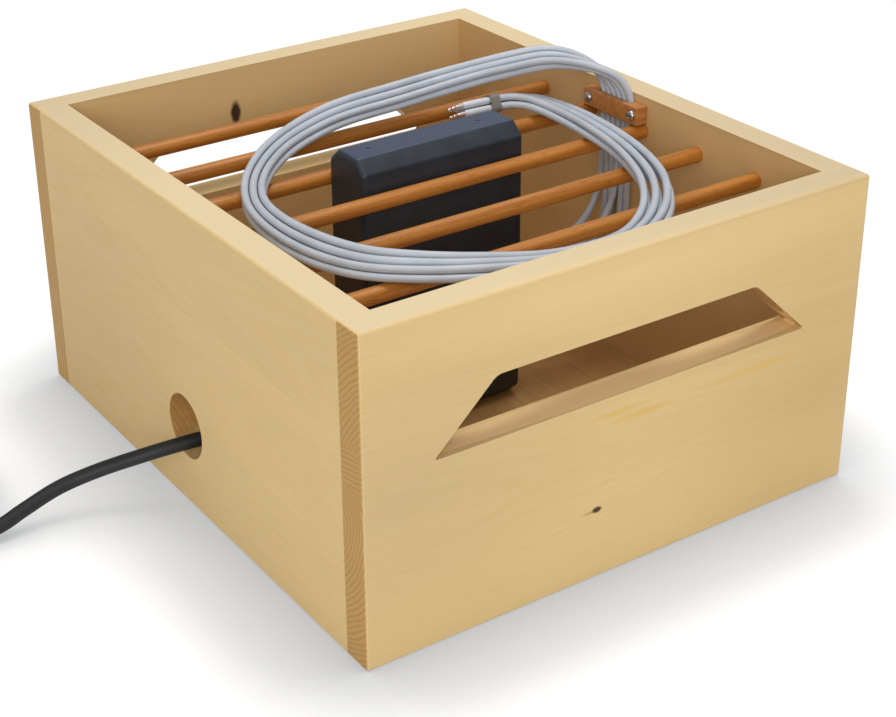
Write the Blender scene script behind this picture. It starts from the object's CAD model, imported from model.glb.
"""Charging box: the finished pieces, their materials, the light and the camera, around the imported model.

Everything is in metres in the model's own frame; sizes are written in millimetres and scaled by MM.
"""

import math

import bmesh
import bpy
from mathutils import Matrix, Vector


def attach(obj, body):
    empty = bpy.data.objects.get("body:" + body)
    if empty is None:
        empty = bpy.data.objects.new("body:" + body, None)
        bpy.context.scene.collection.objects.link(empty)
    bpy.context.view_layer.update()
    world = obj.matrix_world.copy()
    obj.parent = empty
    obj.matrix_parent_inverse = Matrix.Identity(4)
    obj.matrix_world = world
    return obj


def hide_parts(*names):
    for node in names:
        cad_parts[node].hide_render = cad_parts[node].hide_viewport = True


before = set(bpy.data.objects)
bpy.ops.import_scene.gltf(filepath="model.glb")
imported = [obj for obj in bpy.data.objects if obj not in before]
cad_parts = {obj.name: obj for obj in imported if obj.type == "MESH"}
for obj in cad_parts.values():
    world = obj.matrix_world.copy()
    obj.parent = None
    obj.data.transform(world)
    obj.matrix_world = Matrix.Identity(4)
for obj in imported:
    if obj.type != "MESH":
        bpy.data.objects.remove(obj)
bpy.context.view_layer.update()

MM = 0.001
TURN = 2 * math.pi
# how far a cutter reaches past the faces that it goes through
PAST = 2

# The box
BOX_W, BOX_D, BOX_H = 320, 370, 185
BOARD_T = 18
INNER_W = BOX_W - 2 * BOARD_T
INNER_D = BOX_D - 2 * BOARD_T
SIDE_MIDDLE, COVER_MIDDLE = (BOX_W - BOARD_T) / 2, (BOX_D - BOARD_T) / 2
OUTER_ROUND = 1.6
RIM_ROUND = 0.7
SLOT_LOW_W, SLOT_HIGH_W = 240, 166
SLOT_Z, SLOT_H, SLOT_R = 106, 35, 3
HOLE_D, HOLE_Z = 38, 50
PANEL_LOW, PANEL_TOP, PANEL_LIP = 3, 9, 6
GROOVE_PLAY, GROOVE_DEPTH_PLAY = 0.1, 0.5
PEG_R, PEG_L, PEG_IN_COVER = 4, 36, 12
PEG_PLAY, PEG_END_PLAY = 0.1, 0.2
PEG_HEIGHTS = (30, 90, 150)

# The dowels
DOWEL_COUNT = 6
DOWEL_D, DOWEL_Z = 9, 164
DOWEL_L = INNER_W + 19
DOWEL_EASE = 0.8
DOWEL_HOLE_L = INNER_W + 20
DOWEL_PLAY = 0.05

# The charger
CASE_W, CASE_T, CASE_H = 109, 36, 177
CASE_X, CASE_Y, CASE_Z = 2.5, -0.75, 9.2
CASE_WALL = 2.4
CASE_BASE_H, SEAM_GAP = 6, 0.15
CASE_CHAMFER_Y, CASE_CHAMFER_Z = 8.5, 7.5
CASE_EDGE_ROUND, CASE_END_ROUND = 1.0, 3.4
CASE_SCREW_X, CASE_SCREW_HOLE_R = 37, 1.3
CASE_LEFT, CASE_RIGHT = CASE_X - CASE_W / 2, CASE_X + CASE_W / 2
MOVE_GAP = 0.3
INLET_HOLE_W, INLET_HOLE_H = 26.2, 17.2
OUTLET_R, OUTLET_LOW_Z = 4.4, 50
OUTLET_PITCH_Y, OUTLET_PITCH_Z = 15, 20
OUTLET_PLUG_L = 24

# The leads
LEAD_COUNT = 6
LEAD_D, LEAD_PITCH = 4.3, 4.8
CLAMP_Y = -2
CLAMP_LEAD_X = INNER_W / 2 - MOVE_GAP - LEAD_D / 2
LEAD_STEPS = 6
# places of the route between which the flat row of leads closes into two rows of three
ROW_CLOSES = (1, 6)
PLUG_L, PLUG_R, TIP_L, TIP_R = 18, 2.2, 5.5, 1.3
TIE_L, TIE_T, TIE_ROUND, TIE_PLAY = 6, 0.7, 2.4, 1
# length and radius of the plug at the charger, from the socket over its grip ring to its strain relief
OUTLET_PLUG_PROFILE = (
    (0, 0), (0, 3.0), (0.6, 3.5), (9, 3.6), (9.4, 3.3), (10.2, 3.3), (10.6, 3.55), (15, 3.3), (17, 2.7),
    (23.4, 2.4), (OUTLET_PLUG_L, 2.2), (OUTLET_PLUG_L, 0),
)
# degrees that a pair of leads leans out of its upright place, and how many more where the leads spread
PAIR_LEAN, PAIR_LEAN_SPREAD = 30, 40
# the direction that the lower leads lie away from
LEAN_FROM = Vector((0.9, 1.4, 0))
# places of the route between which the pairs stand up again for the tie
LEAN_ENDS = (25, 27)
# how much closer than the clamp's pitch the leads lie in the ring, and the share of their spread that is lost
# on the side that they lean from
LAY_CLOSER, LAY_TIGHTER = 0.4, 0.6
# middle of the bundle of leads, from the clamp over the dowels to the free ends: each place with its height
# above the dowels' middle, how far the leads spread there, and how far the outer side is tipped up
BUNDLE_ROUTE = (
    (CLAMP_LEAD_X, CLAMP_Y, 6, 1, 0), (CLAMP_LEAD_X, CLAMP_Y, 17, 1, 0), (135, 4, 28, 1, 0),
    (125, 15, 35, 1, 0), (111, 30, 37, 1, 10), (93, 45, 32, 1.05, 25), (66, 58, 26, 1.1, 35),
    (28, 67, 20, 1.25, 40), (-18, 67, 17, 1.3, 30), (-60, 53, 13, 1.3, 12), (-92, 26, 11, 1.15, 0),
    (-112, -6, 10.5, 1.05, -10), (-120, -40, 11.2, 1.15, -18), (-118, -75, 11.5, 1.35, -20),
    (-107, -104, 11.5, 1.4, -18), (-86, -125, 11.2, 1.35, -14), (-58, -140, 9.5, 1.25, -8),
    (-28, -151, 7.6, 1.2, 0), (0, -155.5, 7.4, 1.15, 4), (28, -152, 7.6, 1.25, 8), (52, -139, 10.5, 1.4, 14),
    (73, -114, 12, 1.4, 18), (89, -82, 11.3, 1.25, 18), (99, -48, 10.8, 1.1, 12), (104, -15, 10.4, 1.15, 4),
    (104, 12, 10.6, 1.25, -4), (100, 30, 11, 1.2, -14), (91, 40, 10.5, 1.08, -24), (79, 43, 10, 1, -28),
    (74.5, 43.4, 10, 1, -28),
)

# The mains lead
MAINS_D, MAINS_Z = 8.2, 38
CONNECTOR_L, CONNECTOR_W, CONNECTOR_H = 30, 24, 15
CONNECTOR_ROUND, CONNECTOR_BACK_ROUND = 1.2, 4
RELIEF_L, RELIEF_R, RELIEF_TIP_R = 26, 5.4, 4.4
RELIEF_X = CASE_LEFT - MOVE_GAP - CONNECTOR_L - RELIEF_L
FLOOR_LEAD_Z = MAINS_D / 2 + 0.8
COIL_X, COIL_Y, COIL_R = -310, 87, 55
COIL_TURNS, CLIMB_TURNS, COIL_PITCH = 2.25, 0.5, MAINS_D + 1.6
COIL_STEPS = 48
COIL_TIE_W, COIL_TIE_T, COIL_TIE_ROUND = 8, 0.5, 3.4
MAINS_ROUTE = (
    (RELIEF_X, 0, MAINS_Z), (RELIEF_X - 10, 0, MAINS_Z), (-142, 1, MAINS_Z), (-160, 3.5, 37.5),
    (-180, 10, 34), (-204, 23, 25.5), (-226, 29, 19), (-247, 29, 12.5), (-264, 28, 7.5), (-286, 30, 5.2),
    (COIL_X + 8, COIL_Y - COIL_R, FLOOR_LEAD_Z), (COIL_X, COIL_Y - COIL_R, FLOOR_LEAD_Z),
)
TAIL_TOP_Z = FLOOR_LEAD_Z + COIL_PITCH
# the tail's way down from the coil to the plug, from the coil's middle and from the floor
BESIDE_COIL = ((-38, -53, 11), (-60, -37, 9), (-72, -14, 10), (-76, 4, 12), (-76, 12, 13), (-76, 20, 13))
TAIL_ROUTE = ((COIL_X, COIL_Y - COIL_R, TAIL_TOP_Z), (COIL_X - 8, COIL_Y - COIL_R, TAIL_TOP_Z)) + tuple(
    (COIL_X + x, COIL_Y + y, z) for x, y, z in BESIDE_COIL)
PLUG_RELIEF_L = 24
MAINS_PLUG_L, MAINS_PLUG_W, MAINS_PLUG_H = 42, 38, 25
PLUG_ROUND, PLUG_LEAD_ROUND = 2.5, 6
PIN_L, PIN_R, PIN_SPAN = 19, 2.4, 19


# Camera

PHOTO_W, PHOTO_H = 896, 717
FOCAL_PX = 1801.6
CENTRE_PX = (380.6, 290.3)
CAMERA_AZIMUTH, CAMERA_ELEVATION, CAMERA_ROLL = -32.281, 25.932, -1.323
CAMERA_PLACE = (-528.35, -788.3, 550.47)


def place_camera():
    data = bpy.data.cameras.new("camera")
    data.sensor_width = 36
    data.sensor_fit = "HORIZONTAL"
    data.lens = FOCAL_PX / PHOTO_W * data.sensor_width
    data.shift_x = (PHOTO_W / 2 - CENTRE_PX[0]) / PHOTO_W
    data.shift_y = (CENTRE_PX[1] - PHOTO_H / 2) / PHOTO_W
    camera = bpy.data.objects.new("camera", data)
    turn = Matrix.Rotation(math.radians(CAMERA_AZIMUTH), 4, "Z")
    tilt = Matrix.Rotation(math.radians(90 - CAMERA_ELEVATION), 4, "X")
    roll = Matrix.Rotation(math.radians(CAMERA_ROLL), 4, "Z")
    camera.matrix_world = Matrix.Translation(mm(CAMERA_PLACE)) @ turn @ tilt @ roll
    bpy.context.collection.objects.link(camera)
    bpy.context.scene.camera = camera


# Points and routes


def mm(point):
    return Vector(point) * MM


def smooth_step(value):
    clear = min(1, max(0, value))
    return clear * clear * (3 - 2 * clear)


def smooth(points, steps):
    """The smooth curve through the points, as steps points from each to the next."""
    points = [Vector(p) for p in points]
    last = len(points) - 1
    line = []
    for i in range(last):
        a, b = points[max(i - 1, 0)], points[i]
        c, d = points[i + 1], points[min(i + 2, last)]
        for k in range(steps):
            t = k / steps
            bend = 2 * a - 5 * b + 4 * c - d
            turn = 3 * b - a - 3 * c + d
            line.append(0.5 * (2 * b + (c - a) * t + bend * t * t + turn * t ** 3))
    return line + [points[last]]


def tangents(line):
    last = len(line) - 1
    return [(line[min(i + 1, last)] - line[max(i - 1, 0)]).normalized() for i in range(last + 1)]


def facing(place, direction, side=(0, 1, 0)):
    """Matrix that puts a shape made along Z at a place, along a direction, with its X towards side."""
    ahead = Vector(direction).normalized()
    across = (Vector(side) - ahead * ahead.dot(Vector(side))).normalized()
    turned = Matrix((across, ahead.cross(across), ahead)).transposed().to_4x4()
    return Matrix.Translation(mm(place)) @ turned @ Matrix.Scale(MM, 4)


# Mesh helpers: shapes are made in millimetres and put in place in metres


def block(size, middle):
    bm = bmesh.new()
    bmesh.ops.create_cube(bm, size=1)
    bmesh.ops.scale(bm, vec=size, verts=bm.verts)
    bmesh.ops.translate(bm, vec=middle, verts=bm.verts)
    return bm


def soften(bm, edges, radius, segments=3):
    bmesh.ops.bevel(
        bm, geom=list(edges), offset=radius, offset_type="OFFSET", affect="EDGES", segments=segments,
        profile=0.5, material=-1, clamp_overlap=True,
    )


def edges_where(bm, test):
    """Edges whose two ends both pass the test."""
    return [e for e in bm.edges if all(test(v.co) for v in e.verts)]


def sharp_edges(bm, angle=0.5):
    return [e for e in bm.edges if len(e.link_faces) == 2 and e.calc_face_angle() > angle]


def near(a, b):
    return abs(a - b) < 0.01


def lathe(profile, steps):
    """Turned shape about Z from (height, radius) points; the ends that reach the axis close it."""
    bm = bmesh.new()
    verts = [bm.verts.new((radius, 0, height)) for height, radius in profile]
    edges = [bm.edges.new(pair) for pair in zip(verts, verts[1:])]
    bmesh.ops.spin(
        bm, geom=verts + edges, cent=(0, 0, 0), axis=(0, 0, 1), angle=TURN, steps=steps,
        use_merge=True, use_duplicate=False,
    )
    bmesh.ops.remove_doubles(bm, verts=bm.verts, dist=1e-4)
    bmesh.ops.recalc_face_normals(bm, faces=bm.faces)
    return bm


def rod(radius, length, steps, ease=0.1):
    """Round rod along Z with its two rims eased."""
    return lathe([
        (0, 0), (0, radius - ease), (ease, radius), (length - ease, radius), (length, radius - ease),
        (length, 0),
    ], steps)


def prism(outline, depth, axis="Y"):
    """Outline of (across, up) points extruded evenly about the plane through the origin, along X or Y."""
    bm = bmesh.new()
    if axis == "Y":
        verts = [bm.verts.new((a, -depth / 2, b)) for a, b in outline]
    else:
        verts = [bm.verts.new((-depth / 2, a, b)) for a, b in outline]
    face = bm.faces.new(verts)
    made = bmesh.ops.extrude_face_region(bm, geom=[face])
    far = [g for g in made["geom"] if isinstance(g, bmesh.types.BMVert)]
    bmesh.ops.translate(bm, vec=(0, depth, 0) if axis == "Y" else (depth, 0, 0), verts=far)
    bmesh.ops.recalc_face_normals(bm, faces=bm.faces)
    return bm


def moved(bm, matrix):
    bmesh.ops.transform(bm, matrix=matrix, verts=bm.verts)
    return bm


def joined(parts):
    """One bmesh that holds all the parts."""
    whole = bmesh.new()
    for part in parts:
        held = bpy.data.meshes.new("part")
        part.to_mesh(held)
        part.free()
        whole.from_mesh(held)
        bpy.data.meshes.remove(held)
    return whole


def as_object(name, bm):
    mesh = bpy.data.meshes.new(name)
    bm.to_mesh(mesh)
    bm.free()
    made = bpy.data.objects.new(name, mesh)
    bpy.context.collection.objects.link(made)
    return made


def cut(bm, cutters):
    """The shape with the cutters, which don't touch each other, taken out of it."""
    body = as_object("cut_body", bm)
    tool = as_object("cut_tool", joined(cutters))
    taken = body.modifiers.new("cut", "BOOLEAN")
    taken.operation = "DIFFERENCE"
    taken.solver = "EXACT"
    taken.object = tool
    settled = body.evaluated_get(bpy.context.evaluated_depsgraph_get())
    result = bmesh.new()
    result.from_mesh(settled.to_mesh())
    settled.to_mesh_clear()
    for used in (body, tool):
        mesh = used.data
        bpy.data.objects.remove(used)
        bpy.data.meshes.remove(mesh)
    bmesh.ops.remove_doubles(result, verts=result.verts, dist=1e-3)
    return result


def finished(name, bm, body, material, replaced, scaled=True, sharp=35):
    """Turns a bmesh into a named piece that rides on a body and stands for CAD nodes.

    A shape that facing() has put in place is in metres already: scaled is then False.
    """
    if scaled:
        moved(bm, Matrix.Scale(MM, 4))
    made = as_object(name + "_finished" if name in replaced else name, bm)
    made.data.polygons.foreach_set("use_smooth", [True] * len(made.data.polygons))
    made.data.set_sharp_from_angle(angle=math.radians(sharp))
    flat = made.modifiers.new("flat_faces", "WEIGHTED_NORMAL")
    flat.keep_sharp = True
    flat.weight = 90
    made.data.materials.append(material)
    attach(made, body)
    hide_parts(*replaced)
    return made


def cord_piece(name, line, diameter, material):
    """A round cord along a line given in millimetres."""
    data = bpy.data.curves.new(name, "CURVE")
    data.dimensions = "3D"
    data.bevel_depth = diameter / 2 * MM
    data.bevel_resolution = 4
    data.use_fill_caps = True
    spline = data.splines.new("POLY")
    spline.points.add(len(line) - 1)
    for point, place in zip(spline.points, line):
        point.co = (*mm(place), 1)
    spline.use_smooth = True
    made = bpy.data.objects.new(name, data)
    bpy.context.collection.objects.link(made)
    data.materials.append(material)
    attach(made, "box")
    return made


# Material helpers


def linear(value):
    """Linear share of a screen colour value from 0 to 255."""
    share = value / 255
    return share / 12.92 if share <= 0.04045 else ((share + 0.055) / 1.055) ** 2.4


def colour(red, green, blue):
    return (linear(red), linear(green), linear(blue), 1)


def node(tree, kind, inputs=None, **settings):
    """A node with its settings, and with each input set to a value or linked from a socket."""
    made = tree.nodes.new(kind)
    for key, value in settings.items():
        setattr(made, key, value)
    for key, value in (inputs or {}).items():
        if isinstance(value, bpy.types.NodeSocket):
            tree.links.new(value, made.inputs[key])
        else:
            made.inputs[key].default_value = value
    return made


def ramp(tree, factor, stops):
    made = node(tree, "ShaderNodeValToRGB", {0: factor})
    points = made.color_ramp.elements
    while len(points) < len(stops):
        points.new(0.5)
    for point, (place, value) in zip(points, stops):
        point.position = place
        point.color = value if isinstance(value, tuple) else (value, value, value, 1)
    return made.outputs["Color"]


def mix(tree, factor, first, second, blend="MIX"):
    made = node(tree, "ShaderNodeMix", {0: factor, 6: first, 7: second}, data_type="RGBA", blend_type=blend)
    return made.outputs[2]


def maths(tree, operation, first, second=0.0):
    return node(tree, "ShaderNodeMath", {0: first, 1: second}, operation=operation).outputs[0]


def vector(tree, operation, first, second=(0, 0, 0)):
    made = node(tree, "ShaderNodeVectorMath", {0: first, 1: second}, operation=operation)
    return made.outputs["Value" if operation == "LENGTH" else 0]


def spot(tree, coords, place, reach):
    """Distance from a place, 1 at the reach on each axis; both in millimetres."""
    gone = vector(tree, "SUBTRACT", coords, mm(place))
    return vector(tree, "LENGTH", vector(tree, "MULTIPLY", gone, tuple(1 / (r * MM) for r in reach)))


def along_axis(tree, coords, axis):
    return node(tree, "ShaderNodeSeparateXYZ", {0: coords}).outputs[axis]


def face_normal(tree):
    return node(tree, "ShaderNodeNewGeometry").outputs["Normal"]


def stretched(tree, coords, scale, turn=(0, 0, 0)):
    made = node(tree, "ShaderNodeMapping", {"Vector": coords, "Scale": scale, "Rotation": turn})
    return made.outputs[0]


def noise(tree, coords, scale=1.0, detail=3.0, output=0):
    made = node(tree, "ShaderNodeTexNoise", {"Vector": coords, "Scale": scale, "Detail": detail})
    return made.outputs[output]


def blank(name):
    """A new material with its node tree, its shader and the piece's own coordinates."""
    made = bpy.data.materials.new(name)
    made.use_nodes = True
    tree = made.node_tree
    shader = tree.nodes["Principled BSDF"]
    coords = node(tree, "ShaderNodeTexCoord").outputs["Object"]
    return made, tree, shader, coords


def finish_shader(tree, shader, base, roughness, height, bump, depth, **sockets):
    """Links colour, roughness and relief to the shader; sockets are its other inputs by name."""
    tree.links.new(base, shader.inputs["Base Color"])
    if isinstance(roughness, bpy.types.NodeSocket):
        tree.links.new(roughness, shader.inputs["Roughness"])
    else:
        shader.inputs["Roughness"].default_value = roughness
    for key, value in sockets.items():
        shader.inputs[key.replace("_", " ")].default_value = value
    raised = node(tree, "ShaderNodeBump", {"Strength": bump, "Distance": depth, "Height": height})
    tree.links.new(raised.outputs[0], shader.inputs["Normal"])


# Materials

RING_GAP = 2.8
RING_TAPER = 0.05
# strips of a glued board: the height each begins at, and the middle of its year rings, from the middle of the
# board's thickness and from the ground
FRONT_STRIPS = ((0, (40, 82)), (101, (-25, -60)), (121, (-95, 55)))
PLAIN_STRIPS = ((0, (70, 30)), (58, (-60, 92)), (124, (85, 150)))
PALE_PINE, FACE_RING, END_RING = colour(231, 201, 143), colour(220, 178, 104), colour(146, 104, 62)
SANDED_TOP = colour(230, 214, 184)
PORE, END_TINT = colour(196, 158, 100), colour(222, 203, 173)
RESIN, KNOT, BORE = colour(226, 186, 96), colour(54, 30, 18), colour(150, 96, 40)
DULL_WOOD, RED_WOOD, BRIGHT_WOOD = colour(178, 156, 122), colour(188, 148, 92), colour(250, 219, 163)
LEDGE, WARM_WOOD = colour(246, 212, 158), colour(190, 130, 75)


def from_pith(tree, coords, along, middle, strips):
    """Place along the grain and from the pith of the glued strip that a point lies in."""
    grain_turn = (0, 0, -math.pi / 2) if along == "Y" else (0, 0, 0)
    grain = stretched(tree, coords, (1, 1, 1), grain_turn)
    height = along_axis(tree, coords, "Z")
    piths = [(low * MM, (0, (middle + across) * MM, up * MM)) for low, (across, up) in strips]
    pith = piths[0][1]
    for low, next_pith in piths[1:]:
        above = maths(tree, "GREATER_THAN", height, low)
        pith = node(tree, "ShaderNodeMix", {0: above, 4: pith, 5: next_pith}, data_type="VECTOR").outputs[1]
    return vector(tree, "SUBTRACT", grain, pith)


def late_wood(tree, placed):
    """Dark part of each year ring, from 0 to 1; the rings sway and taper along the grain."""
    wander = noise(tree, stretched(tree, placed, (2.5, 14, 14)), detail=2.0, output="Color")
    sway = node(tree, "ShaderNodeVectorMath", {0: wander, "Scale": 0.012}, operation="SCALE").outputs[0]
    swayed = vector(tree, "ADD", placed, sway)
    radius = vector(tree, "LENGTH", vector(tree, "MULTIPLY", swayed, (0, 1, 1)))
    taper = maths(tree, "MULTIPLY", along_axis(tree, swayed, "X"), RING_TAPER)
    phase = maths(tree, "DIVIDE", maths(tree, "ADD", radius, taper), RING_GAP * MM)
    uneven = noise(tree, stretched(tree, placed, (2, 60, 60)), detail=1.0)
    rings = maths(tree, "FRACT", maths(tree, "ADD", phase, maths(tree, "MULTIPLY", uneven, 1.6)))
    return ramp(tree, rings, [(0.0, 0.0), (0.5, 0.1), (0.86, 1.0), (1.0, 0.1)])


def sanded_top(tree, coords, normal):
    """Share of the paler colour of the sanded rim, on the upward faces at the top of the box."""
    upward = along_axis(tree, normal, "Z")
    on_top = maths(tree, "GREATER_THAN", along_axis(tree, coords, "Z"), (BOX_H - 2) * MM)
    return maths(tree, "MULTIPLY", ramp(tree, upward, [(0.96, 0.0), (0.99, 0.5)]), on_top)


def pine(name, along, middle, strips, marks, tones):
    """Edge-glued pine: year rings, pores, fine fibre and end grain, with soft tones and sharper marks."""
    made, tree, shader, coords = blank(name)
    placed = from_pith(tree, coords, along, middle, strips)
    late = late_wood(tree, placed)
    fibre = noise(tree, stretched(tree, placed, (14, 900, 900)), detail=2.0)
    pores = noise(tree, stretched(tree, placed, (55, 800, 800)), detail=1.0)
    dashes = ramp(tree, pores, [(0.6, 0.0), (0.75, 1.0)])
    patch = noise(tree, stretched(tree, placed, (4, 26, 26)), detail=2.0)
    normal = face_normal(tree)
    end_side = maths(tree, "ABSOLUTE", along_axis(tree, normal, along))
    end_grain = ramp(tree, end_side, [(0.6, 0.0), (0.8, 1.0)])
    ring_share = node(tree, "ShaderNodeMix", {0: end_grain, 2: 0.1, 3: 0.34}).outputs[0]
    ring_colour = mix(tree, end_grain, FACE_RING, END_RING)
    body = mix(tree, maths(tree, "MULTIPLY", late, ring_share), PALE_PINE, ring_colour)
    body = mix(tree, maths(tree, "MULTIPLY", dashes, 0.08), body, PORE)
    body = mix(tree, 1.0, body, ramp(tree, patch, [(0.3, 0.955), (0.7, 1.0)]), "MULTIPLY")
    body = mix(tree, 1.0, body, ramp(tree, fibre, [(0.3, 0.978), (0.65, 1.0)]), "MULTIPLY")
    body = mix(tree, sanded_top(tree, coords, normal), body, SANDED_TOP)
    ends = mix(tree, 1.0, body, END_TINT, "MULTIPLY")
    body = mix(tree, end_grain, body, ends)
    face_grain = maths(tree, "SUBTRACT", 1.0, end_grain)
    for place, reach, tint, strength in tones:
        share = ramp(tree, spot(tree, coords, place, reach), [(0.0, strength), (1.0, 0.0)])
        body = mix(tree, maths(tree, "MULTIPLY", share, face_grain), body, tint)
    streaks = maths(tree, "SUBTRACT", noise(tree, stretched(tree, placed, (30, 260, 260))), 0.5)
    for place, reach, tint, strength, soft in marks:
        rough = maths(tree, "MULTIPLY", streaks, soft)
        away = maths(tree, "ADD", spot(tree, coords, place, reach), rough)
        body = mix(tree, ramp(tree, away, [(max(0, 1 - soft), strength), (1.0, 0.0)]), body, tint)
    sheen = ramp(tree, fibre, [(0.3, 0.62), (0.7, 0.5)])
    height = mix(tree, 0.3, fibre, late)
    finish_shader(tree, shader, body, sheen, height, 0.08, 0.0003, Specular_IOR_Level=0.2)
    return made


def plywood(name):
    made, tree, shader, coords = blank(name)
    fibre = noise(tree, stretched(tree, coords, (500, 9, 500)))
    patch = noise(tree, stretched(tree, coords, (30, 5, 30)))
    body = ramp(tree, patch, [(0.3, colour(186, 140, 82)), (0.7, colour(204, 160, 100))])
    body = mix(tree, 1.0, body, ramp(tree, fibre, [(0.3, 0.86), (0.65, 1.0)]), "MULTIPLY")
    finish_shader(tree, shader, body, 0.6, fibre, 0.12, 0.0003)
    return made


def turned_wood(name, pale, dark, pore):
    """Stained beech: short dark pores along X in a fine grain."""
    made, tree, shader, coords = blank(name)
    grain = noise(tree, stretched(tree, coords, (10, 330, 330)))
    pores = noise(tree, stretched(tree, coords, (130, 1500, 1500)), detail=2.0)
    body = ramp(tree, grain, [(0.3, dark), (0.68, pale)])
    dots = ramp(tree, pores, [(0.6, 0.0), (0.7, 1.0)])
    body = mix(tree, maths(tree, "MULTIPLY", dots, 0.55), body, pore)
    finish_shader(tree, shader, body, ramp(tree, grain, [(0.3, 0.5), (0.7, 0.4)]), pores, 0.1, 0.0003)
    return made


def moulded(name, base, worn, roughness=0.42, grit=2600.0, dusty=None):
    """Moulded plastic with a fine sparked grain, faint handling marks and, given its colour, dust on top."""
    made, tree, shader, coords = blank(name)
    grain = noise(tree, coords, grit, 2.0)
    marks = noise(tree, coords, 60.0, 4.0)
    body = mix(tree, ramp(tree, marks, [(0.45, 0.0), (0.75, 1.0)]), base, worn)
    if dusty:
        upward = along_axis(tree, face_normal(tree), "Z")
        body = mix(tree, ramp(tree, upward, [(0.75, 0.0), (0.98, 1.0)]), body, dusty)
    polish = ramp(tree, marks, [(0.3, roughness - 0.05), (0.7, roughness + 0.08)])
    finish_shader(tree, shader, body, polish, grain, 0.08, 0.0002)
    return made


def metal(name, base, stained, roughness=0.28):
    made, tree, shader, coords = blank(name)
    marks = noise(tree, coords, 700.0)
    body = mix(tree, ramp(tree, marks, [(0.4, 0.0), (0.8, 1.0)]), base, stained)
    polish = ramp(tree, marks, [(0.3, roughness - 0.06), (0.7, roughness + 0.12)])
    finish_shader(tree, shader, body, polish, marks, 0.05, 0.0001, Metallic=1.0)
    return made


def soft_vinyl(name, base, shade, roughness=0.42):
    made, tree, shader, coords = blank(name)
    cloud = noise(tree, coords, 45.0)
    skin = noise(tree, coords, 1500.0, 2.0)
    body = ramp(tree, cloud, [(0.3, shade), (0.7, base)])
    polish = ramp(tree, cloud, [(0.3, roughness + 0.06), (0.7, roughness - 0.04)])
    finish_shader(tree, shader, body, polish, skin, 0.05, 0.0002)
    return made


FRONT_Y, BACK_INSIDE_Y, RIGHT_INSIDE_X = -BOX_D / 2, INNER_D / 2, INNER_W / 2
SLOT_MIDDLE_Z = SLOT_Z + SLOT_H / 2
# marks on the boards: place, reach, colour, strength and softness of the edge
FRONT_MARKS = (
    ((-8, FRONT_Y, 96), (26, 9, 2.6), RESIN, 0.8, 1.0), ((10, FRONT_Y, 90.5), (24, 9, 2.6), RESIN, 0.8, 1.0),
    ((88, FRONT_Y, 92), (44, 9, 3), RESIN, 0.7, 1.0), ((-24, FRONT_Y, 41.6), (8, 6, 1.2), KNOT, 0.4, 1.0),
    ((-19, FRONT_Y, 42), (3.6, 6, 2.1), KNOT, 0.95, 0.5),
    ((0, -COVER_MIDDLE, SLOT_MIDDLE_Z), (150, 8.6, 50), LEDGE, 0.8, 0.05),
    ((-98, -COVER_MIDDLE, SLOT_Z + 24), (22, 8.8, 20), BORE, 0.7, 0.1),
    ((98, -COVER_MIDDLE, SLOT_Z + 24), (22, 8.8, 20), BORE, 0.7, 0.1),
)
BACK_MARKS = (
    ((0, BACK_INSIDE_Y - 4, 100), (900, 4.3, 900), WARM_WOOD, 0.2, 0.02),
    ((-30, BACK_INSIDE_Y, 155.5), (4.4, 6, 9.0), KNOT, 0.96, 0.4),
)
HOLE_REACH = HOLE_D / 2 + 0.2
LEFT_MARKS = (((-SIDE_MIDDLE, 0, HOLE_Z), (400, HOLE_REACH, HOLE_REACH), BORE, 0.6, 0.02),)
RIGHT_MARKS = (((RIGHT_INSIDE_X - 4, 0, 100), (4.3, 900, 900), WARM_WOOD, 0.38, 0.02),)
# tones that fade from a place on a face or on the rim: place, reach, colour and strength
FRONT_TONES = (
    ((-140, FRONT_Y, 90), (130, 9, 110), DULL_WOOD, 0.3), ((140, FRONT_Y, 70), (120, 9, 110), RED_WOOD, 0.32),
    ((0, FRONT_Y, 172), (200, 9, 26), BRIGHT_WOOD, 0.5),
    ((BOX_W / 2, -COVER_MIDDLE, BOX_H), (240, 30, 3), DULL_WOOD, 0.4),
)
BACK_TONES = (((-BOX_W / 2, COVER_MIDDLE, BOX_H), (300, 30, 3), DULL_WOOD, 0.3),)
LEFT_TONES = (
    ((-BOX_W / 2, 170, 30), (9, 230, 150), RED_WOOD, 0.32),
    ((-SIDE_MIDDLE, INNER_D / 2, BOX_H), (30, 150, 3), DULL_WOOD, 0.3),
)
RIGHT_TONES = (((SIDE_MIDDLE, -INNER_D / 2, BOX_H), (30, 300, 3), DULL_WOOD, 0.35),)
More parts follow.
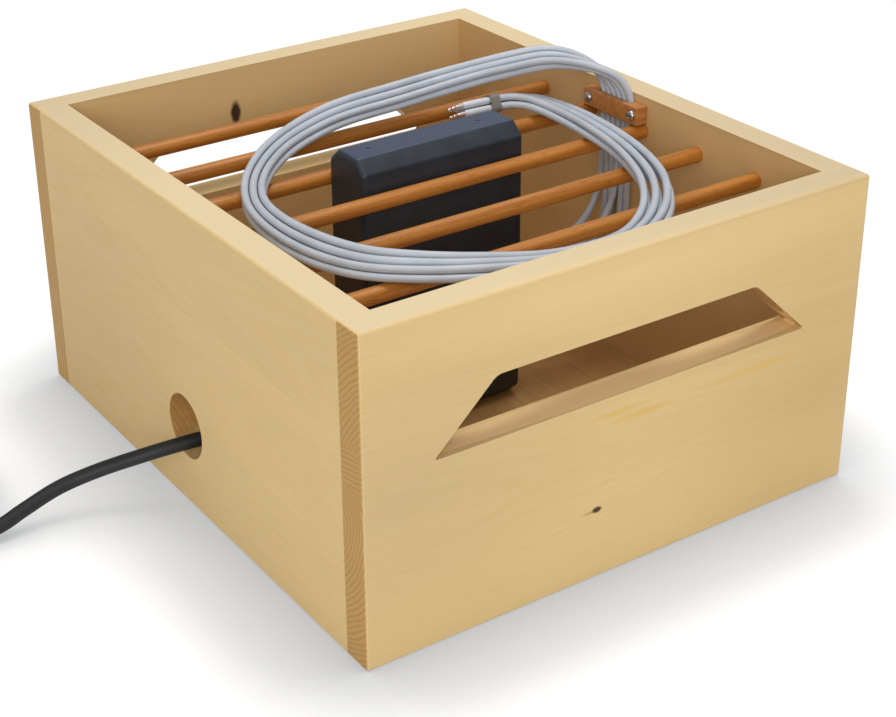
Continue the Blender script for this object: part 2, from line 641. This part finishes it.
# the side boards' middles change sign, because their coordinates are turned to lie along the grain
MATERIALS = {
    "front_pine": pine("front_pine", "X", -COVER_MIDDLE, FRONT_STRIPS, FRONT_MARKS, FRONT_TONES),
    "back_pine": pine("back_pine", "X", COVER_MIDDLE, PLAIN_STRIPS, BACK_MARKS, BACK_TONES),
    "left_pine": pine("left_pine", "Y", SIDE_MIDDLE, PLAIN_STRIPS, LEFT_MARKS, LEFT_TONES),
    "right_pine": pine("right_pine", "Y", -SIDE_MIDDLE, FRONT_STRIPS, RIGHT_MARKS, RIGHT_TONES),
    "plywood": plywood("panel_plywood"),
    "dowel": turned_wood("dowel_beech", colour(196, 127, 48), colour(164, 98, 29), colour(112, 63, 18)),
    "peg": turned_wood("peg_beech", colour(214, 176, 124), colour(196, 154, 100), colour(150, 110, 66)),
    "clamp": turned_wood("clamp_wood", colour(198, 133, 72), colour(172, 108, 55), colour(120, 72, 36)),
    "case": moulded("case_plastic", colour(29, 37, 46), colour(36, 45, 56), dusty=colour(60, 70, 93)),
    "connector": moulded("connector_plastic", colour(30, 31, 33), colour(40, 41, 43), 0.5),
    "white_plug": moulded("plug_plastic", colour(207, 211, 217), colour(194, 197, 203), 0.38),
    "steel": metal("screw_steel", colour(205, 205, 208), colour(150, 150, 155)),
    "brass": metal("pin_brass", colour(222, 188, 112), colour(170, 135, 70)),
    "tip": metal("tip_metal", colour(232, 218, 212), colour(204, 184, 176), 0.4),
    "aluminium": metal("fin_aluminium", colour(200, 202, 205), colour(160, 162, 166), 0.4),
    "core": metal("core_steel", colour(120, 118, 115), colour(80, 74, 68), 0.5),
    "board": moulded("board_laminate", colour(28, 86, 48), colour(40, 108, 62), 0.35, 900.0),
    "can": moulded("can_sleeve", colour(40, 62, 120), colour(58, 80, 138), 0.35, 1200.0),
    "lead": soft_vinyl("lead_vinyl", colour(192, 197, 205), colour(177, 182, 190)),
    "mains": soft_vinyl("mains_rubber", colour(18, 21, 23), colour(13, 15, 17), 0.55),
    "tie": soft_vinyl("tie_band", colour(132, 124, 116), colour(112, 104, 97), 0.55),
}


# The four boards


def peg_cutters(side_x, side_y):
    """Holes for the pegs of one corner, along Y."""
    start = side_y * (INNER_D / 2 + PEG_IN_COVER + PEG_END_PLAY)
    lying = Matrix.Rotation(side_y * math.pi / 2, 4, "X")
    return [
        moved(rod(PEG_R + PEG_PLAY, PEG_L + 2 * PEG_END_PLAY, 24),
              Matrix.Translation((side_x * SIDE_MIDDLE, start, z)) @ lying)
        for z in PEG_HEIGHTS
    ]


def groove_cutter():
    """Room for the bottom panel and its lip all round."""
    wider = 2 * (PANEL_LIP + GROOVE_DEPTH_PLAY)
    thickness = PANEL_TOP - PANEL_LOW + 2 * GROOVE_PLAY
    return block((INNER_W + wider, INNER_D + wider, thickness), (0, 0, (PANEL_LOW + PANEL_TOP) / 2))


def slot_cutter(middle_y):
    """Hand slot, wider below than above, with rounded corners."""
    outline = [
        (-SLOT_LOW_W / 2, SLOT_Z), (SLOT_LOW_W / 2, SLOT_Z),
        (SLOT_HIGH_W / 2, SLOT_Z + SLOT_H), (-SLOT_HIGH_W / 2, SLOT_Z + SLOT_H),
    ]
    bm = prism(outline, BOARD_T + 2 * PAST)
    corners = [e for e in bm.edges if near(e.verts[0].co.x, e.verts[1].co.x)]
    soften(bm, corners, SLOT_R, 6)
    return moved(bm, Matrix.Translation((0, middle_y, 0)))


def cover_board(name, side, material):
    """Front (side -1) or back board, which covers the ends of the side boards."""
    middle_y = side * COVER_MIDDLE
    outer_y, inner_y = side * BOX_D / 2, side * INNER_D / 2
    bm = block((BOX_W, BOARD_T, BOX_H), (0, middle_y, BOX_H / 2))
    outer = edges_where(bm, lambda p: near(p.y, outer_y))
    ends = [e for e in bm.edges if near(e.verts[0].co.x, e.verts[1].co.x)
            and near(e.verts[0].co.z, e.verts[1].co.z)]
    soften(bm, set(outer + ends), OUTER_ROUND)
    pegs = [p for side_x in (-1, 1) for p in peg_cutters(side_x, side)]
    bm = cut(bm, [slot_cutter(middle_y), groove_cutter()] + pegs)
    half_w = SLOT_LOW_W / 2 + 1
    rims = [e for e in sharp_edges(bm) if all(
        abs(v.co.x) < half_w and SLOT_Z - 1 < v.co.z < SLOT_Z + SLOT_H + 1
        and (near(v.co.y, outer_y) or near(v.co.y, inner_y)) for v in e.verts)]
    soften(bm, rims, RIM_ROUND, 2)
    return finished(name, bm, "box", material, [name])


def side_board(name, side, material, hole):
    """Left (side -1) or right board, with the dowels' holes and, if asked for, the cable hole."""
    outer_x, inner_x = side * BOX_W / 2, side * INNER_W / 2
    bm = block((BOARD_T, INNER_D, BOX_H), (side * SIDE_MIDDLE, 0, BOX_H / 2))
    soften(bm, [e for e in edges_where(bm, lambda p: near(p.x, outer_x))
                if near(e.verts[0].co.z, e.verts[1].co.z)], OUTER_ROUND)
    cutters = [groove_cutter()]
    cutters += [p for side_y in (-1, 1) for p in peg_cutters(side, side_y)]
    lying = Matrix.Rotation(math.pi / 2, 4, "Y")
    for y in dowel_places():
        start = Matrix.Translation((-DOWEL_HOLE_L / 2, y, DOWEL_Z))
        cutters.append(moved(rod(DOWEL_D / 2 + DOWEL_PLAY, DOWEL_HOLE_L, 48), start @ lying))
    if hole:
        start = Matrix.Translation((side * SIDE_MIDDLE - BOARD_T / 2 - PAST, 0, HOLE_Z))
        cutters.append(moved(rod(HOLE_D / 2, BOARD_T + 2 * PAST, 96), start @ lying))
    bm = cut(bm, cutters)
    if hole:
        rims = [e for e in sharp_edges(bm) if all(
            math.hypot(v.co.y, v.co.z - HOLE_Z) < HOLE_D / 2 + 1
            and (near(v.co.x, outer_x) or near(v.co.x, inner_x)) for v in e.verts)]
        soften(bm, rims, RIM_ROUND, 2)
    return finished(name, bm, "box", material, [name])


def dowel_places():
    step = INNER_D / (DOWEL_COUNT + 1)
    return [INNER_D / 2 - (i + 1) * step for i in range(DOWEL_COUNT)]


def dowels():
    lying = Matrix.Rotation(math.pi / 2, 4, "Y")
    for i, y in enumerate(dowel_places()):
        name = "dowel_%d" % (i + 1)
        start = Matrix.Translation((-DOWEL_L / 2, y, DOWEL_Z))
        bm = moved(rod(DOWEL_D / 2, DOWEL_L, 48, DOWEL_EASE), start @ lying)
        finished(name, bm, "box", MATERIALS["dowel"], [name])


# The charger


def case_solid():
    """Outside of the case: chamfered along its long edges, every edge rounded."""
    half_t = CASE_T / 2
    flat_t, high = half_t - CASE_CHAMFER_Y, CASE_H - CASE_CHAMFER_Z
    outline = [
        (-flat_t, 0), (flat_t, 0), (half_t, CASE_CHAMFER_Z), (half_t, high),
        (flat_t, CASE_H), (-flat_t, CASE_H), (-half_t, high), (-half_t, CASE_CHAMFER_Z),
    ]
    bm = moved(prism(outline, CASE_W, "X"), Matrix.Translation((CASE_X, CASE_Y, CASE_Z)))
    ends = [e for e in bm.edges if near(e.verts[0].co.x, e.verts[1].co.x)]
    soften(bm, ends, CASE_END_ROUND, 5)
    soften(bm, sharp_edges(bm), CASE_EDGE_ROUND, 2)
    return bm


def outlet_places():
    """Two columns of outlets on the right end of the case."""
    places = []
    for i in range(LEAD_COUNT):
        column, row = divmod(i, LEAD_COUNT // 2)
        y = CASE_Y + (column - 0.5) * OUTLET_PITCH_Y
        places.append((CASE_RIGHT, y, OUTLET_LOW_Z + row * OUTLET_PITCH_Z))
    return places


def charger():
    """The case in two halves, and new materials for the rest of the charger, the panel and the pegs."""
    seam_z = CASE_Z + CASE_BASE_H
    shell = case_solid()
    bmesh.ops.bisect_plane(
        shell, geom=shell.verts[:] + shell.edges[:] + shell.faces[:], plane_co=(0, 0, seam_z + SEAM_GAP),
        plane_no=(0, 0, 1), clear_inner=True,
    )
    bmesh.ops.solidify(shell, geom=shell.faces[:], thickness=CASE_WALL)
    bmesh.ops.recalc_face_normals(shell, faces=shell.faces)
    along_x = Matrix.Rotation(math.pi / 2, 4, "Y")
    through = CASE_WALL + 2 * PAST
    cutters = [block((2 * through, INLET_HOLE_W, INLET_HOLE_H), (CASE_LEFT, 0, MAINS_Z))]
    for x, y, z in outlet_places():
        start = Matrix.Translation((x - CASE_WALL - PAST, y, z))
        cutters.append(moved(rod(OUTLET_R, through, 32), start @ along_x))
    for s in (-1, 1):
        start = Matrix.Translation((s * CASE_SCREW_X, CASE_Y, CASE_Z + CASE_H - CASE_WALL - PAST))
        cutters.append(moved(rod(CASE_SCREW_HOLE_R, through, 24), start))
    shell = cut(shell, cutters)
    finished("charger_shell", shell, "charger", MATERIALS["case"], ["charger_shell"], sharp=25)
    base = case_solid()
    bmesh.ops.bisect_plane(
        base, geom=base.verts[:] + base.edges[:] + base.faces[:], plane_co=(0, 0, seam_z), plane_no=(0, 0, 1),
        clear_outer=True,
    )
    bmesh.ops.holes_fill(base, edges=[e for e in base.edges if e.is_boundary])
    finished("charger_base", base, "charger", MATERIALS["case"], ["charger_base"], sharp=25)
    for name, finish in (
        ("charger_screws", "steel"), ("charger_inlet", "connector"), ("inlet_pins", "brass"),
        ("charger_outlets", "connector"), ("circuit_board", "board"), ("transformer", "core"),
        ("capacitors", "can"), ("heat_sink", "aluminium"), ("bottom_panel", "plywood"),
        ("corner_pegs", "peg"),
    ):
        repaint(name, MATERIALS[finish])


def repaint(name, material):
    """Gives a CAD node that stays in view a finished material."""
    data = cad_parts[name].data
    data.materials.clear()
    data.materials.append(material)


# The lead clamp

CLAMP_T, CLAMP_L, CLAMP_H = 8, 50, 11.5
CLAMP_Z = DOWEL_Z + DOWEL_D / 2 + MOVE_GAP
CLAMP_ROUND = 0.8
CLAMP_SCREW_SPAN, CLAMP_SCREW_HOLE_R = 40, 1.55
CLAMP_NOTCH_W = LEAD_COUNT * LEAD_PITCH + 2
CLAMP_NOTCH_D = LEAD_D + 0.6
# depth behind the bar's face and radius, from the tip over the shank to the crown of the head
SCREW_PROFILE = ((21, 0), (21, 1.5), (0, 1.5), (0, 3.2), (-0.7, 3.2), (-1.5, 2.8), (-2.0, 1.9), (-2.2, 0))
CROSS_L, CROSS_W, CROSS_H = 3.4, 0.7, 2.0


def clamp():
    """The bar with a notch for the leads, and its two cross-head screws."""
    face_x = INNER_W / 2 - MOVE_GAP
    middle = Vector((face_x - CLAMP_T / 2, CLAMP_Y, CLAMP_Z + CLAMP_H / 2))
    bar = block((CLAMP_T, CLAMP_L, CLAMP_H), middle)
    soften(bar, bar.edges[:], CLAMP_ROUND)
    notch_size = (2 * CLAMP_NOTCH_D, CLAMP_NOTCH_W, CLAMP_H + 2 * PAST)
    notch = block(notch_size, middle + Vector((CLAMP_T / 2, 0, 0)))
    along_x = Matrix.Rotation(math.pi / 2, 4, "Y")
    places = [Vector((face_x - CLAMP_T, CLAMP_Y + s * CLAMP_SCREW_SPAN / 2, middle.z)) for s in (-1, 1)]
    holes = [
        moved(rod(CLAMP_SCREW_HOLE_R, CLAMP_T + 2 * PAST, 24),
              Matrix.Translation(p - Vector((PAST, 0, 0))) @ along_x)
        for p in places
    ]
    bar = cut(bar, [notch] + holes)
    finished("clamp_bar", bar, "clamp", MATERIALS["clamp"], ["clamp_bar"])
    for i, place in enumerate(places):
        screw = lathe(SCREW_PROFILE, 40)
        for arm in ((CROSS_L, CROSS_W, CROSS_H), (CROSS_W, CROSS_L, CROSS_H)):
            screw = cut(screw, [block(arm, (0, 0, SCREW_PROFILE[-1][0]))])
        screw = moved(screw, Matrix.Translation(place) @ along_x @ Matrix.Rotation(0.5 + i, 4, "Z"))
        name = "clamp_screw_%d" % (i + 1)
        finished(name, screw, "clamp", MATERIALS["steel"], ["clamp_screws"])


# The charging leads


def row_shut(station):
    """How far the flat row of leads has closed into two rows of three, from 0 to 1."""
    return smooth_step((station - ROW_CLOSES[0]) / (ROW_CLOSES[1] - ROW_CLOSES[0]))


def lead_offset(i, station, spread, side):
    """Place of lead i across the bundle and above it: each pair of neighbours turns about its middle."""
    shut = row_shut(station)
    loose = shut * (1 - smooth_step((station - LEAN_ENDS[0]) / (LEAN_ENDS[1] - LEAN_ENDS[0])))
    pair, half = i // 2 - 1, i % 2 - 0.5
    facing_share = max(-1, min(1, LEAN_FROM.dot(side)))
    lean = (PAIR_LEAN + PAIR_LEAN_SPREAD * (spread - 1)) * facing_share * loose
    turn = math.radians(90 * shut + lean)
    spread -= LAY_TIGHTER * max(0, facing_share) * (spread - 1)
    apart = 2 - (2 - spread) * shut * shut
    pitch = LEAD_PITCH - LAY_CLOSER * loose
    return pitch * Vector((pair * apart + half * math.cos(turn), half * math.sin(turn)))


def lead_rise(i):
    """From the plug at the charger to the wall, and up it to the clamp."""
    x, y, z = outlet_places()[i]
    x += MOVE_GAP + OUTLET_PLUG_L
    row_y = CLAMP_Y + (i - (LEAD_COUNT - 1) / 2) * LEAD_PITCH
    return smooth([
        (x, y, z), (x + LEAD_D, y, z), (x + 20, (3 * y + row_y) / 4, z + 1),
        (CLAMP_LEAD_X - 16, (y + 3 * row_y) / 4, z + 7), (CLAMP_LEAD_X - 3, row_y, z + 25),
        (CLAMP_LEAD_X, row_y, z + 48), (CLAMP_LEAD_X, row_y, DOWEL_Z - 16 + z / 20),
        (CLAMP_LEAD_X, row_y, DOWEL_Z - 1),
    ], LEAD_STEPS)


def bundle_frames():
    """Middle, direction, side and spread of the bundle at each step."""
    rows = smooth(BUNDLE_ROUTE, LEAD_STEPS)
    line = [Vector((x, y, z + DOWEL_Z)) for x, y, z, spread, tip in rows]
    frames = []
    for k, (place, ahead) in enumerate(zip(line, tangents(line))):
        shut = row_shut(k / LEAD_STEPS)
        side = (1 - shut) * Vector((0, 1, 0)) + shut * ahead.cross(Vector((0, 0, 1)))
        side = (side - ahead * ahead.dot(side)).normalized()
        spread, tip = rows[k][3], math.radians(rows[k][4])
        side = math.cos(tip) * side + math.sin(tip) * side.cross(ahead)
        frames.append((place, ahead, side, spread))
    return frames


def charging_leads():
    """Each lead from its outlet to its free plug, as a cord with the pieces that it carries."""
    frames = bundle_frames()
    tie = lead_tie(*frames[-1 - LEAD_STEPS][:3])
    last_ahead, last_side = frames[-1][1:3]
    for i in range(LEAD_COUNT):
        line = lead_rise(i)
        for k, (place, ahead, side, spread) in enumerate(frames):
            across, above = lead_offset(i, k / LEAD_STEPS, spread, side)
            line.append(place + across * side + above * ahead.cross(side))
        lead = cord_piece("charging_lead_%d" % (i + 1), line, LEAD_D, MATERIALS["lead"])
        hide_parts("charging_leads")
        on_lead = lead_ends(i, line[0], line[-1], last_ahead, last_side)


def lead_tie(place, ahead, side):
    """The band round two rows of three leads near their free ends."""
    one_more = LEAD_D + TIE_PLAY
    tie = strap((2 * LEAD_PITCH + one_more, LEAD_PITCH + one_more, TIE_L), TIE_T, TIE_ROUND)
    moved(tie, facing(place, ahead, side))
    return finished("lead_tie", tie, "box", MATERIALS["tie"], ["lead_tie"], scaled=False)


def lead_ends(i, start, end, ahead, side):
    """The plug at the charger, and the free plug with its metal tip."""
    number = i + 1
    white = MATERIALS["white_plug"]
    socket_end = (start.x - OUTLET_PLUG_L, start.y, start.z)
    shape = moved(lathe(OUTLET_PLUG_PROFILE, 28), facing(socket_end, (1, 0, 0)))
    socket_plug = finished("outlet_plug_%d" % number, shape, "box", white, ["outlet_plugs"],
                           scaled=False)
    body = lathe([
        (0, 0), (0, PLUG_R - 0.3), (0.8, PLUG_R), (PLUG_L - 0.8, PLUG_R), (PLUG_L, PLUG_R - 0.5), (PLUG_L, 0),
    ], 24)
    shape = moved(body, facing(end, ahead, side))
    plug = finished("lead_plug_%d" % number, shape, "box", white, ["lead_plugs"], scaled=False)
    point = lathe([(0, 0), (0, TIP_R), (TIP_L - 1, TIP_R), (TIP_L - 0.3, TIP_R - 0.3), (TIP_L, 0)], 20)
    shape = moved(point, facing(end + ahead * PLUG_L, ahead, side))
    tip = finished("lead_tip_%d" % number, shape, "box", MATERIALS["tip"], ["lead_tips"],
                   scaled=False)
    return [socket_plug, plug, tip]


def strap(size, thickness, corner):
    """Band round a bundle, made about Z: an open tube with rounded corners and a wall."""
    bm = block(size, (0, 0, 0))
    bmesh.ops.delete(bm, geom=[f for f in bm.faces if abs(f.normal.z) > 0.5], context="FACES_ONLY")
    uprights = [e for e in bm.edges if not near(e.verts[0].co.z, e.verts[1].co.z)]
    soften(bm, uprights, corner, 6)
    bmesh.ops.recalc_face_normals(bm, faces=bm.faces)
    bmesh.ops.solidify(bm, geom=bm.faces[:], thickness=-thickness)
    bmesh.ops.recalc_face_normals(bm, faces=bm.faces)
    return bm


# The mains lead


def coil_line():
    """The lower layer winds in, the lead climbs, and the upper layer winds out."""
    points = []
    for k in range(int((2 * COIL_TURNS + CLIMB_TURNS) * COIL_STEPS) + 1):
        turn = k / COIL_STEPS
        climb = min(1, max(0, (turn - COIL_TURNS) / CLIMB_TURNS))
        inward = min(turn, COIL_TURNS)
        outward = max(0, turn - COIL_TURNS - CLIMB_TURNS)
        radius = COIL_R + (outward - inward) * COIL_PITCH
        angle = -TURN / 4 - TURN * turn
        points.append(Vector((COIL_X + radius * math.cos(angle), COIL_Y + radius * math.sin(angle),
                              FLOOR_LEAD_Z + climb * COIL_PITCH)))
    return points


def relief_profile(length, root, tip):
    """Tapered strain relief with ring ribs, from its tip to its root."""
    ribs = 6
    step = length / (ribs + 1)
    profile = [(0, 0), (0, tip - 0.4), (0.5, tip)]
    for r in range(ribs):
        low = 1.2 + r * step
        width = tip + (root - tip) * (low + step) / length
        profile += [(low, width), (low + step * 0.6, width), (low + step * 0.7, width - 0.7),
                    (low + step * 0.9, width - 0.7)]
    return profile + [(length - 1.5, root), (length, root), (length, 0)]


def relief(name, length, place, direction, side):
    """A strain relief that takes the lead at its tip."""
    shape = moved(lathe(relief_profile(length, RELIEF_R, RELIEF_TIP_R), 32), facing(place, direction, side))
    return finished(name, shape, "box", MATERIALS["connector"], [name], scaled=False)


def mains_connector():
    """Moulded connector at the charger's inlet, rounded more at its back."""
    back_x = CASE_LEFT - MOVE_GAP - CONNECTOR_L
    bm = block((CONNECTOR_L, CONNECTOR_W, CONNECTOR_H), (back_x + CONNECTOR_L / 2, 0, MAINS_Z))
    soften(bm, edges_where(bm, lambda p: near(p.x, back_x)), CONNECTOR_BACK_ROUND, 4)
    soften(bm, sharp_edges(bm), CONNECTOR_ROUND)
    name = "mains_connector"
    return finished(name, bm, "box", MATERIALS["connector"], [name])


def mains_plug(start):
    """Moulded plug body along Y, rounded more where the lead comes in."""
    bm = block((MAINS_PLUG_W, MAINS_PLUG_L, MAINS_PLUG_H), start + Vector((0, MAINS_PLUG_L / 2, 0)))
    soften(bm, edges_where(bm, lambda p: near(p.y, start.y)), PLUG_LEAD_ROUND, 5)
    soften(bm, sharp_edges(bm), PLUG_ROUND)
    return finished("mains_plug", bm, "box", MATERIALS["connector"], ["mains_plug"])


def plug_pins(start):
    """The plug's two round pins, thinner at the root, side by side along Y."""
    profile = [(0, 0), (0, 2.1), (9, 2.1), (9.2, PIN_R), (PIN_L - 1.5, PIN_R), (PIN_L - 0.3, 1.5), (PIN_L, 0)]
    pins, steel = [], MATERIALS["steel"]
    for side, name in ((-1, "plug_pin_left"), (1, "plug_pin_right")):
        foot = start + Vector((side * PIN_SPAN / 2, 0, 0))
        shape = moved(lathe(profile, 24), facing(foot, (0, 1, 0), (1, 0, 0)))
        pins.append(finished(name, shape, "box", steel, ["plug_pins"], scaled=False))
    return pins


def coil_tie():
    """The band round all the turns of the coil, at its left."""
    outer_r = COIL_R - COIL_PITCH / 4
    inner_r = COIL_R - COIL_TURNS * COIL_PITCH
    size = (outer_r - inner_r + MAINS_D + 0.6, COIL_PITCH + MAINS_D + 0.4, COIL_TIE_W)
    place = (COIL_X - (outer_r + inner_r) / 2, COIL_Y, FLOOR_LEAD_Z + COIL_PITCH / 2)
    shape = moved(strap(size, COIL_TIE_T, COIL_TIE_ROUND), facing(place, (0, 1, 0), (1, 0, 0)))
    return finished("coil_tie", shape, "box", MATERIALS["tie"], ["coil_tie"], scaled=False)


def mains_lead():
    """The lead from the charger through the cable hole to its coil, with the pieces that it carries."""
    line = smooth(MAINS_ROUTE, 6)[:-1] + coil_line()[:-1] + smooth(TAIL_ROUTE, 6)
    lead = cord_piece("mains_lead", line, MAINS_D, MATERIALS["mains"])
    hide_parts("mains_lead", "mains_coil", "mains_tail")
    plug_start = line[-1] + Vector((0, PLUG_RELIEF_L, 0))
    own_relief = relief("connector_relief", RELIEF_L, line[0], (1, 0, 0), (0, 1, 0))
    connector = mains_connector()
    tail_relief = relief("plug_relief", PLUG_RELIEF_L, line[-1], (0, 1, 0), (1, 0, 0))
    plug = mains_plug(plug_start)
    pins = plug_pins(plug_start + Vector((0, MAINS_PLUG_L, 0)))
    tie = coil_tie()


# Floor and light

# reach of the shade where the box meets the floor
CONTACT_SHADE = 80
# metres
FLOOR_HALF, FLOOR_DROP = 8, 0.0003
LIGHT_AIM = (0, 0, 0.1)
SKY_STRENGTH = 0.43


def floor_material():
    """White paper: plain to the light, lifted to white for camera and reflections except close to the box."""
    made = bpy.data.materials.new("paper_floor")
    made.use_nodes = True
    tree = made.node_tree
    tree.nodes.remove(tree.nodes["Principled BSDF"])
    out = tree.nodes["Material Output"]
    shade = node(tree, "ShaderNodeAmbientOcclusion", {"Distance": CONTACT_SHADE * MM}, samples=16)
    white = ramp(tree, shade.outputs["AO"], [
        (0.5, (0.46, 0.48, 0.5, 1)), (0.82, (0.68, 0.69, 0.7, 1)), (0.97, (1, 1, 1, 1)),
    ])
    grey = node(tree, "ShaderNodeBsdfDiffuse", {"Color": (0.3, 0.3, 0.3, 1)})
    glow = node(tree, "ShaderNodeEmission", {"Color": white, "Strength": 0.78})
    seen = node(tree, "ShaderNodeAddShader", {0: grey.outputs[0], 1: glow.outputs[0]})
    plain = node(tree, "ShaderNodeBsdfDiffuse", {"Color": (0.8, 0.8, 0.8, 1)})
    path = node(tree, "ShaderNodeLightPath")
    direct = maths(tree, "MAXIMUM", path.outputs["Is Camera Ray"], path.outputs["Is Glossy Ray"])
    both = node(tree, "ShaderNodeMixShader", {0: direct, 1: plain.outputs[0], 2: seen.outputs[0]})
    tree.links.new(both.outputs[0], out.inputs["Surface"])
    return made


def lay_floor():
    bm = bmesh.new()
    bmesh.ops.create_grid(bm, x_segments=1, y_segments=1, size=FLOOR_HALF)
    bmesh.ops.translate(bm, vec=(0, 0, -FLOOR_DROP), verts=bm.verts)
    floor = as_object("floor", bm)
    floor.data.materials.append(floor_material())


def area_light(name, place, size, power):
    """Square soft light at a place in metres, turned to the box."""
    data = bpy.data.lights.new(name, "AREA")
    data.shape = "SQUARE"
    data.size = size
    data.energy = power
    lamp = bpy.data.objects.new(name, data)
    lamp.location = place
    lamp.rotation_euler = (Vector(LIGHT_AIM) - Vector(place)).to_track_quat("-Z", "Y").to_euler()
    bpy.context.collection.objects.link(lamp)


def light_scene():
    world = bpy.data.worlds.new("studio")
    world.use_nodes = True
    sky = world.node_tree.nodes["Background"]
    sky.inputs["Color"].default_value = (1, 1, 1, 1)
    sky.inputs["Strength"].default_value = SKY_STRENGTH
    bpy.context.scene.world = world
    area_light("overhead", place=(0.27, 0.1, 2.0), size=0.8, power=17.5)
    area_light("front_fill", place=(-2.1, -2.6, 1.6), size=2.4, power=60)
    bpy.context.scene.view_settings.view_transform = "Standard"


place_camera()
charging_leads()
mains_lead()
cover_board("front_board", -1, MATERIALS["front_pine"])
cover_board("back_board", 1, MATERIALS["back_pine"])
side_board("left_board", -1, MATERIALS["left_pine"], True)
side_board("right_board", 1, MATERIALS["right_pine"], False)
dowels()
charger()
clamp()
lay_floor()
light_scene()
